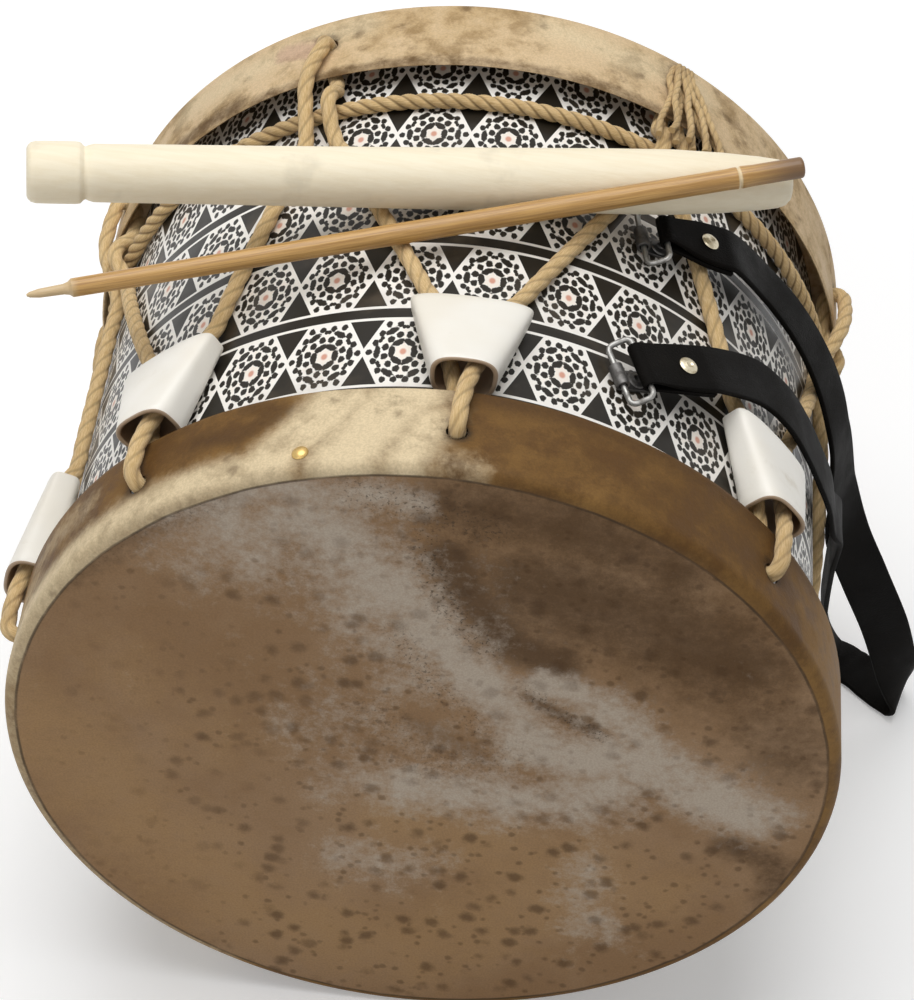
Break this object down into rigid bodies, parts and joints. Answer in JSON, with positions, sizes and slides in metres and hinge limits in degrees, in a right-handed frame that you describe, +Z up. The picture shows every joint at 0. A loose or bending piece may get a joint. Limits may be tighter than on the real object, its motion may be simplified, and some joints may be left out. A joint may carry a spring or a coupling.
{
  "type": "tabl drum",
  "caption": "Cylindrical two-headed tabl drum on its side, rope-laced rawhide heads with sliding tuner sleeves, patterned shell, shoulder strap, beater and cane.",
  "frame": {"origin": "middle of the front head's outer face", "axes": "+Y along the drum's axis from the front head to the rear head, +Z up as the drum lies, +X to the side where the strap hangs"},
  "size_m": [0.5091, 0.352, 0.4462],
  "materials": {
    "rawhide": "mottled dry rawhide",
    "shell_wood": "bare plywood",
    "mosaic_sheet": "satin sheet printed with a black and white geometric mosaic",
    "jute": "twisted jute rope",
    "white_plastic": "white plastic pipe",
    "black_leather": "smooth black leather",
    "steel": "nickel-plated steel",
    "brass": "dull brass",
    "pale_wood": "pale sanded wood",
    "cane_skin": "varnished bamboo cane"
  },
  "bodies": {
    "drum": {"shell": "shell_wood", "shell_wrap": "mosaic_sheet", "front_stiffener": "shell_wood", "rear_stiffener": "shell_wood", "front_hoop": "shell_wood", "rear_hoop": "shell_wood", "front_head": "rawhide", "rear_head": "rawhide", "lacing_rope": "jute", "binding_rope": "jute", "rope_tassel": "jute", "front_anchor": "steel", "front_anchor_rivet": "steel", "rear_anchor": "steel", "rear_anchor_rivet": "steel", "shoulder_strap": "black_leather", "collar_tack": "brass"},
    "tuner_1": {"tuner_sleeve_1": "white_plastic"},
    "tuner_2": {"tuner_sleeve_2": "white_plastic"},
    "tuner_3": {"tuner_sleeve_3": "white_plastic"},
    "tuner_4": {"tuner_sleeve_4": "white_plastic"},
    "tuner_5": {"tuner_sleeve_5": "white_plastic"},
    "tuner_6": {"tuner_sleeve_6": "white_plastic"},
    "tuner_7": {"tuner_sleeve_7": "white_plastic"},
    "tuner_8": {"tuner_sleeve_8": "white_plastic"},
    "front_strap_end": {"front_ring": "steel", "front_strap_rivet": "brass"},
    "rear_strap_end": {"rear_ring": "steel", "rear_strap_rivet": "brass"},
    "beater": {"beater": "pale_wood"},
    "cane": {"cane": "cane_skin"}
  },
  "joints": [
    {"name": "tuner_1_slide", "type": "slide", "parent": "drum", "child": "tuner_1", "axis": [0, 1, 0], "range_m": [-0.007, 0.004]},
    {"name": "tuner_2_slide", "type": "slide", "parent": "drum", "child": "tuner_2", "axis": [0, 1, 0], "range_m": [-0.007, 0.004]},
    {"name": "tuner_3_slide", "type": "slide", "parent": "drum", "child": "tuner_3", "axis": [0, 1, 0], "range_m": [-0.007, 0.004]},
    {"name": "tuner_4_slide", "type": "slide", "parent": "drum", "child": "tuner_4", "axis": [0, 1, 0], "range_m": [-0.007, 0.004]},
    {"name": "tuner_5_slide", "type": "slide", "parent": "drum", "child": "tuner_5", "axis": [0, 1, 0], "range_m": [-0.007, 0.004]},
    {"name": "tuner_6_slide", "type": "slide", "parent": "drum", "child": "tuner_6", "axis": [0, 1, 0], "range_m": [-0.007, 0.004]},
    {"name": "tuner_7_slide", "type": "slide", "parent": "drum", "child": "tuner_7", "axis": [0, 1, 0], "range_m": [-0.007, 0.004]},
    {"name": "tuner_8_slide", "type": "slide", "parent": "drum", "child": "tuner_8", "axis": [0, 1, 0], "range_m": [-0.007, 0.004]},
    {"name": "front_ring_swing", "type": "hinge", "parent": "drum", "child": "front_strap_end", "pos_m": [0.07735, 0.09917, 0.18488], "axis": [0.3963, -0.8988, -0.1873], "range_deg": [0, 60], "deforming": ["shoulder_strap"]},
    {"name": "rear_ring_swing", "type": "hinge", "parent": "drum", "child": "rear_strap_end", "pos_m": [0.08439, 0.20536, 0.18181], "axis": [0.2142, -0.9703, -0.1125], "range_deg": [0, 15], "deforming": ["shoulder_strap"]},
    {"name": "beater_lift", "type": "slide", "parent": "drum", "child": "beater", "axis": [0, 0, 1], "range_m": [0, 0.15]},
    {"name": "cane_lift", "type": "slide", "parent": "beater", "child": "cane", "axis": [0, 0, 1], "range_m": [0, 0.15]}
  ]
}
